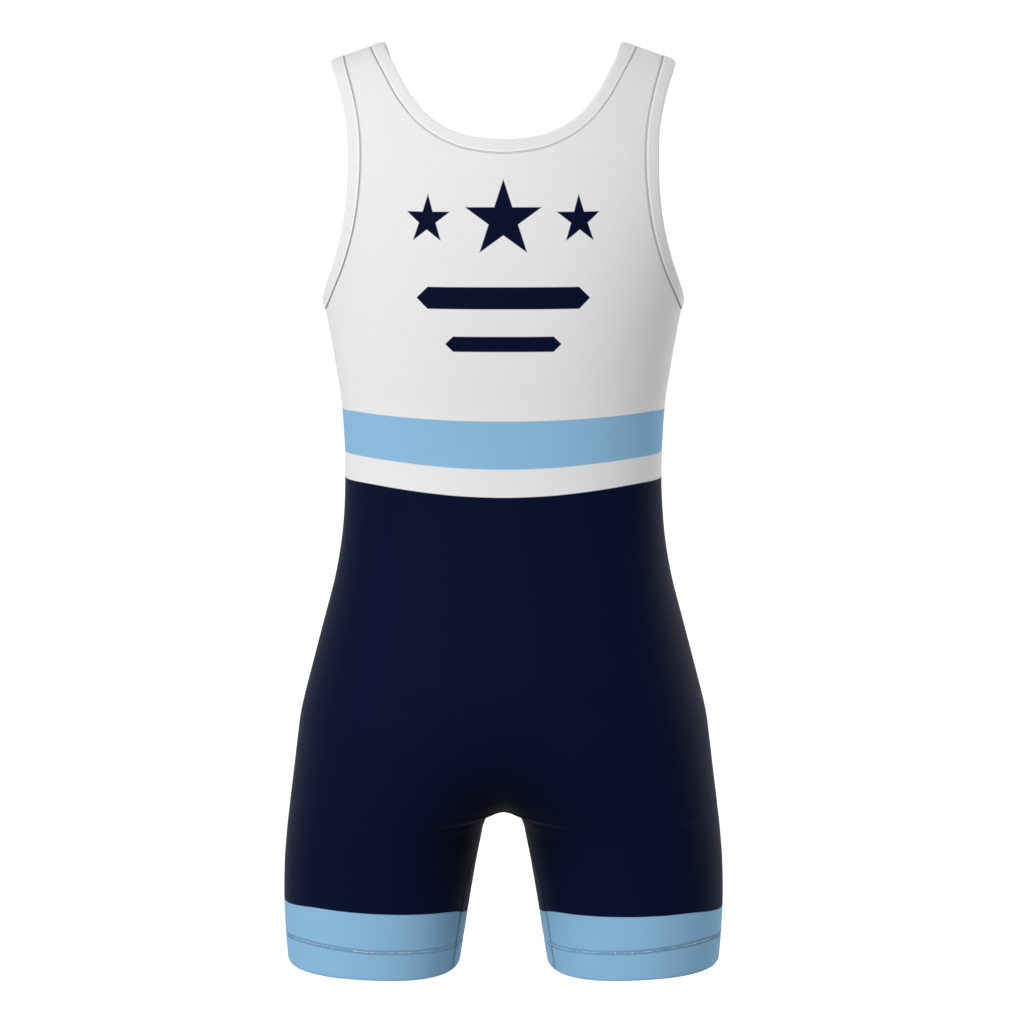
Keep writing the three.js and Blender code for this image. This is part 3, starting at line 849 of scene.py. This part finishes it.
def add_node(tree, kind, inputs=(), **settings):
    """One shader node: settings go on it, and each input gets a value or, from an output, a link."""
    node = tree.nodes.new("ShaderNode" + kind)
    for name, value in settings.items():
        setattr(node, name, value)
    for socket, value in dict(inputs).items():
        if isinstance(value, bpy.types.NodeSocket):
            tree.links.new(value, node.inputs[socket])
        else:
            node.inputs[socket].default_value = value
    return node


def calc(operation, *values):
    """Output of one Math node, fed with numbers and outputs, in the tree that the outputs belong to."""
    tree = next(value.id_data for value in values if isinstance(value, bpy.types.NodeSocket))
    return add_node(tree, "Math", enumerate(values), operation=operation).outputs[0]


LOOP_DEPTH = 0.25
FLECK_SCALE, FLECK_SHARE = 650.0, 0.6
BUMP_DEPTH = 0.0004


def knit_group():
    """Loops of a fine knit: upright ribs, each crossed by slanted rows whose slant turns at every rib."""
    inputs = {"Coordinates": None, "Rib": 0.001, "Row": 0.001}
    tree, source, sink = group_tree("fine_knit", inputs, ("Height", "Shade"))
    place = source.outputs["Coordinates"]
    split = add_node(tree, "SeparateXYZ", {0: place})
    across = calc("DIVIDE", split.outputs[0], source.outputs["Rib"])
    rows = calc("DIVIDE", split.outputs[1], source.outputs["Row"])
    slant = calc("PINGPONG", across, 1.0)
    rib = calc("ABSOLUTE", calc("SINE", calc("MULTIPLY", across, math.pi)))
    phase = calc("MULTIPLY", calc("ADD", rows, slant), 2 * math.pi)
    loops = calc("MULTIPLY_ADD", calc("SINE", phase), LOOP_DEPTH, 1 - LOOP_DEPTH)
    height = calc("MULTIPLY", rib, loops)
    fleck = add_node(tree, "TexNoise", {"Scale": FLECK_SCALE, "Detail": 3.0, "Vector": place}).outputs[0]
    # The shade is partly random flecks and partly painted shade, darker where the loops lie low.
    loop_shade = calc("MULTIPLY", height, 1 - FLECK_SHARE)
    tree.links.new(height, sink.inputs["Height"])
    tree.links.new(calc("MULTIPLY_ADD", fleck, FLECK_SHARE, loop_shade), sink.inputs["Shade"])
    return tree


KNIT = knit_group()
print("knit group", [item.name for item in KNIT.interface.items_tree])

# %% [markdown]
# The print. The white, blue and navy are dyed into the cloth, so they have edges but no thickness. The
# panels carry straightened heights as attributes, and the material only compares them with the height
# of each edge. The dye does not go through: the inner face of the cloth stays off-white, apart from the
# hem that is turned up inside. The back also carries a plain design of stars and bars in the navy of the
# shorts.

# %% The printed cloth
def linear(red, green, blue):
    """A colour as a screen shows it, 0 to 255, turned into the linear values that materials use."""
    value = np.array((red, green, blue)) / 255
    value = np.where(value <= 0.04045, value / 12.92, ((value + 0.055) / 1.055) ** 2.4)
    return (*value.tolist(), 1.0)


WHITE = linear(234, 234, 235)
BLUE = linear(141, 188, 222)
NAVY = linear(10, 17, 46)
INSIDE = linear(214, 215, 219)
# White for the painted highlight on the bands' lip, and for the pale thread.
HIGHLIGHT_AND_THREAD_WHITE = linear(255, 255, 255)
UNLIT, UNLIT_SHARE = linear(3, 4, 9), 0.8
BRAID_TINT, BRAID_SHARE = linear(100, 148, 184), 0.6
SEAM_PAINTED_SHADE, PANEL_CONTRAST, BAND_CONTRAST = 0.46, 0.26, 0.36
PANEL_KNIT = dict(rib=0.0011, row=0.0008, bump=0.25, roughness=0.58, sheen=0.018)
BAND_KNIT = dict(rib=0.0015, row=0.0011, bump=0.35, roughness=0.62, sheen=0.03)
TWIST_SCALE, TWIST_DIM = 900.0, 0.8
NAVY_TOP, STRIPE_BOTTOM, STRIPE_TOP = 447.7, 473.1, 517.3
EDGE = 0.35


def attribute(tree, name):
    """Output of a float attribute of the mesh."""
    return add_node(tree, "Attribute", attribute_name=name).outputs["Fac"]


def cloth_place(tree):
    """Place on the flat cloth, in millimetres."""
    return add_node(tree, "UVMap", uv_map="cloth").outputs[0]


def above(value, edge):
    """0 below an edge and 1 above it, soft over a fraction of a millimetre."""
    ends = {"Value": value, "From Min": edge - EDGE, "From Max": edge + EDGE}
    return add_node(value.id_data, "MapRange", ends).outputs[0]


def mix_colour(tree, factor, low, high, blend="MIX"):
    """A colour mix; low and high are colours or outputs."""
    parts = {0: factor, 6: low, 7: high}
    return add_node(tree, "Mix", parts, data_type="RGBA", blend_type=blend).outputs[2]


def grey(value):
    """The grey of one brightness."""
    return add_node(value.id_data, "CombineColor", {0: value, 1: value, 2: value}).outputs[0]


def new_material(name, inputs):
    """A material, its node tree and its Principled shader, with the given inputs set."""
    material = bpy.data.materials.new(name)
    material.use_nodes = True
    shader = material.node_tree.nodes["Principled BSDF"]
    for socket, value in inputs.items():
        shader.inputs[socket].default_value = value
    return material, material.node_tree, shader


def cloth_material(name, rib, row, bump, roughness, sheen):
    """A Principled cloth with the knit's bump; returns the material, its tree, its shader and the shade."""
    material, tree, shader = new_material(name, {
        "Roughness": roughness,
        "Specular IOR Level": 0.02,
        "Sheen Weight": sheen,
        "Sheen Roughness": 0.4,
        "Sheen Tint": (0.7, 0.85, 1.0, 1.0),
    })
    metres = add_node(tree, "VectorMath", {0: cloth_place(tree), "Scale": MM}, operation="SCALE").outputs[0]
    knit = add_node(tree, "Group", {"Coordinates": metres, "Rib": rib, "Row": row}, node_tree=KNIT)
    relief = {"Strength": bump, "Distance": BUMP_DEPTH, "Height": knit.outputs["Height"]}
    tree.links.new(add_node(tree, "Bump", relief).outputs[0], shader.inputs["Normal"])
    return material, tree, shader, knit.outputs["Shade"]


def shaded(tree, colour, shade, contrast):
    """The colour, varied a little by the knit's flecks and painted loop shade, with painted shade down in
    the seams.
    """
    fleck_and_loop_shade = calc("MULTIPLY_ADD", shade, contrast, 1 - contrast / 2)
    # Painted shade darkens the colour down in the seams.
    dark = calc("MULTIPLY_ADD", attribute(tree, "seam"), -SEAM_PAINTED_SHADE, 1.0)
    return mix_colour(tree, 1.0, colour, grey(calc("MULTIPLY", fleck_and_loop_shade, dark)), "MULTIPLY")


def star_group():
    """
    How far a point lies inside a five-point star. The angle round the middle is folded into a tenth of a
    turn, so all ten edges are one straight line, and the distance to that line is the answer.
    """
    tree, source, sink = group_tree("star", {"Place": None, "Size": 30.0}, ("Inside",))
    split = add_node(tree, "SeparateXYZ", {0: source.outputs["Place"]})
    right, up = split.outputs[0], split.outputs[1]
    away = calc("SQRT", calc("MULTIPLY_ADD", right, right, calc("MULTIPLY", up, up)))
    turn = calc("PINGPONG", calc("ARCTAN2", right, up), math.pi / 5)
    slant = calc("COSINE", calc("SUBTRACT", turn, 0.4 * math.pi))
    edge = calc("MULTIPLY", away, slant)
    reach = calc("MULTIPLY", source.outputs["Size"], math.cos(0.4 * math.pi))
    tree.links.new(calc("SUBTRACT", reach, edge), sink.inputs["Inside"])
    return tree


STAR = star_group()
STARS = table("across up size", [(0, 92, 36), (-70, 92, 23), (70, 92, 23)])
BARS = table("up half_length half_width", [(22, 78, 10), (-20, 52, 7)])


def design(tree):
    """1 inside the back's design of three stars over two bars with pointed ends, and 0 outside it."""
    place = cloth_place(tree)
    split = add_node(tree, "SeparateXYZ", {0: place})
    depths = []
    for across, up, size in zip(*STARS.values()):
        move = add_node(tree, "VectorMath", {0: place, 1: (across, up, 0)}, operation="SUBTRACT")
        star = add_node(tree, "Group", {"Place": move.outputs[0], "Size": size}, node_tree=STAR)
        depths.append(star.outputs[0])
    for up, half_length, half_width in zip(*BARS.values()):
        off = calc("ABSOLUTE", calc("SUBTRACT", split.outputs[1], up))
        end = calc("ADD", calc("ABSOLUTE", split.outputs[0]), off)
        side = calc("SUBTRACT", half_width, off)
        depths.append(calc("MINIMUM", side, calc("SUBTRACT", half_length, end)))
    deepest = depths[0]
    for depth in depths[1:]:
        deepest = calc("MAXIMUM", deepest, depth)
    return above(deepest, 0.0)


def panel_material(name, with_design):
    """White, a blue stripe, a white stripe, navy, and a light blue band at each leg."""
    material, tree, shader, shade = cloth_material(name, **PANEL_KNIT)
    height, stitch = attribute(tree, "print"), attribute(tree, "stitch")
    colour = mix_colour(tree, above(height, NAVY_TOP), NAVY, WHITE)
    if with_design:
        colour = mix_colour(tree, design(tree), colour, NAVY)
    stripe = calc("SUBTRACT", above(height, STRIPE_BOTTOM), above(height, STRIPE_TOP))
    colour = mix_colour(tree, stripe, colour, BLUE)
    colour = mix_colour(tree, above(attribute(tree, "leg"), 0.0), BLUE, colour)
    # Painted shade: the colour is mixed towards near-black deep between the legs.
    unlit = calc("MULTIPLY", attribute(tree, "crotch_painted_shade"), UNLIT_SHARE)
    colour = mix_colour(tree, unlit, colour, UNLIT)
    off_braid = above(calc("ABSOLUTE", stitch), COVER_WIDTH / 2)
    braid = calc("MULTIPLY_ADD", off_braid, -BRAID_SHARE, BRAID_SHARE)
    colour = mix_colour(tree, braid, colour, BRAID_TINT)
    undyed = calc("MULTIPLY", attribute(tree, "inside"), above(stitch, HEM_ABOVE_STITCH))
    colour = mix_colour(tree, undyed, colour, INSIDE)
    tree.links.new(shaded(tree, colour, shade, PANEL_CONTRAST), shader.inputs["Base Color"])
    return material


def band_material():
    """The bands' white knit, with ribs that run along the band, and a painted highlight on the raised lip
    by the seam.
    """
    material, tree, shader, shade = cloth_material("band_cloth", **BAND_KNIT)
    # Painted highlight: a lighter colour on the lip beside the seam.
    colour = mix_colour(tree, attribute(tree, "lip"), WHITE, HIGHLIGHT_AND_THREAD_WHITE)
    tree.links.new(shaded(tree, colour, shade, BAND_CONTRAST), shader.inputs["Base Color"])
    return material


def thread_material(name, colour, worn):
    """Twisted polyester thread, striped light and dark, and nearer to the colour given as worn where tone
    is low; on the pale stitches that tone is partly painted highlight.
    """
    material, tree, shader = new_material(name, {"Roughness": 0.45})
    place = add_node(tree, "TexCoord").outputs["Object"]
    twist = add_node(tree, "TexWave", {"Scale": TWIST_SCALE, "Vector": place})
    dim = tuple(TWIST_DIM * value for value in colour[:3]) + (1.0,)
    striped = mix_colour(tree, twist.outputs["Fac"], dim, colour)
    toned = mix_colour(tree, attribute(tree, "tone"), worn, striped)
    tree.links.new(toned, shader.inputs["Base Color"])
    return material


band_cloth = band_material()
MATERIALS = {
    back_cloth: panel_material("printed_back", True),
    front_cloth: panel_material("printed_front", False),
    neck_band: band_cloth,
    arm_band_right: band_cloth,
    arm_band_left: band_cloth,
}
for piece, material in MATERIALS.items():
    piece.data.materials.append(material)
# The pale stitches' white is partly thread colour and partly painted highlight.
pale_thread = thread_material("pale_thread", HIGHLIGHT_AND_THREAD_WHITE, linear(128, 175, 210))
blue_thread = thread_material("blue_thread", linear(112, 160, 196), linear(104, 152, 188))
for braid, pale in covers:
    braid.data.materials.append(blue_thread)
    pale.data.materials.append(pale_thread)
print("materials", [material.name for material in bpy.data.materials])

# %% [markdown]
# Each piece is listed with what it stands for, and how large each sheet of cloth was before it was sewn
# and stretched over a body, and the frame's own part for it is hidden. Stretch knit is cut a tenth smaller
# each way than the space it fills.

# %% What each piece stands for
SHEETS = {
    back_cloth: ("back_panel", "panel_cloth", (0.52, 0.83), 0.288),
    front_cloth: ("front_panel", "panel_cloth", (0.50, 0.83), 0.272),
    neck_band: ("neck_binding", "binding_cloth", (0.0125, 0.86), None),
    arm_band_right: ("armhole_binding_right", "binding_cloth", (0.0125, 0.60), None),
    arm_band_left: ("armhole_binding_left", "binding_cloth", (0.0125, 0.60), None),
}
for piece, (node, slot, flat, area) in SHEETS.items():
    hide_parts(node)
worn = {piece.name: sum(face.area for face in piece.data.polygons) / 2 for piece in SHEETS}
print("worn areas in square metres", {name: round(area, 3) for name, area in worn.items()})

# %% [markdown]
# The stage is a pale floor that rises on every side into a pale wall, like a very large bowl, so there is
# no line behind the garment from any side. It lies well below, because the garment is held up by its
# straps and touches nothing. The wall behind the garment glows: on the photo's white ground the cloth
# gets its bright edges from there, while its middle gets the softer light of the room. The camera sees
# a little of that glow on every side, so the ground is pale from behind too.

# %% Stage
FLOOR, BOWL_RADIUS, BOWL_CURVE, BOWL_TOP = -1.25, 8.0, 3.0, 7.0
GLOW_NEAR, GLOW_FAR, GLOW_START, GLOW_END = 0.14, 0.86, 0.2, 1.6
SEEN_GLOW = 0.6


def bowl():
    """A profile of floor, quarter circle and wall, turned about the upright axis."""
    turn = np.linspace(0, math.pi / 2, 20)
    radius = np.concatenate([[0.0, 2.5], BOWL_RADIUS - BOWL_CURVE * (1 - np.sin(turn)), [BOWL_RADIUS]])
    z = np.concatenate([[FLOOR, FLOOR], FLOOR + BOWL_CURVE * (1 - np.cos(turn)), [BOWL_TOP]])
    circle = np.linspace(0, 2 * math.pi, 97)
    x, y = radius[:, None] * np.cos(circle), radius[:, None] * np.sin(circle)
    points = np.stack([x, y, z[:, None] + 0 * x], -1).reshape(-1, 3)
    ids = np.arange(len(points)).reshape(len(radius), len(circle))
    mesh = bpy.data.meshes.new("bowl")
    mesh.from_pydata(points.tolist(), [], grid_faces(ids, False).tolist())
    mesh.shade_smooth()
    stage = bpy.data.objects.new("bowl", mesh)
    bpy.context.scene.collection.objects.link(stage)
    mesh.materials.append(bowl_material())


def bowl_material():
    """Matt paint whose glow grows from front to back, and never looks dark to the eye itself."""
    material, tree, shader = new_material("pale_stage", {
        "Base Color": (0.3, 0.3, 0.3, 1),
        "Roughness": 1.0,
        "Specular IOR Level": 0.0,
        "Emission Strength": 1.0,
    })
    material.cycles.emission_sampling = "NONE"
    split = add_node(tree, "SeparateXYZ", {0: add_node(tree, "TexCoord").outputs["Object"]})
    ends = {"From Min": GLOW_START, "From Max": GLOW_END, "To Min": GLOW_NEAR, "To Max": GLOW_FAR}
    ends["Value"] = split.outputs[1]
    glow = add_node(tree, "MapRange", ends, interpolation_type="SMOOTHSTEP").outputs[0]
    seen = calc("MULTIPLY", add_node(tree, "LightPath").outputs["Is Camera Ray"], SEEN_GLOW)
    brightness = calc("MAXIMUM", seen, glow)
    tree.links.new(grey(brightness), shader.inputs["Emission Color"])
    return material


bowl()
print("floor at", FLOOR, "m")

# %% [markdown]
# The light of the picture is soft and comes from the camera's left, a little from above. The right side
# falls into a gentle shade, and a weak light from behind lifts its very edge. A third, weaker still, falls
# on the straps from above, and a pale sky over the bowl softens them all.

# %% Light
LAMPS = (
    ("key", (-2.0, -3.42, 0.45), 2.0, 102.0),
    ("edge", (2.6, 2.2, 0.1), 1.2, 24.0),
    ("top", (0.9, -0.9, 1.9), 1.5, 6.5),
)
LAMP_AIM = Vector((0, 0, -0.42))
SKY = 0.55
for name, place, size, watts in LAMPS:
    lamp = bpy.data.lights.new(name, "AREA")
    lamp.size = size
    lamp.energy = watts
    stand = bpy.data.objects.new(name, lamp)
    stand.location = place
    stand.rotation_euler = (LAMP_AIM - Vector(place)).to_track_quat("-Z", "Y").to_euler()
    bpy.context.scene.collection.objects.link(stand)

world = bpy.data.worlds.new("studio")
world.use_nodes = True
world.node_tree.nodes["Background"].inputs["Color"].default_value = (1, 1, 1, 1)
world.node_tree.nodes["Background"].inputs["Strength"].default_value = SKY
bpy.context.scene.world = world
bpy.context.scene.view_settings.view_transform = "Standard"
print("lamps", len(LAMPS))
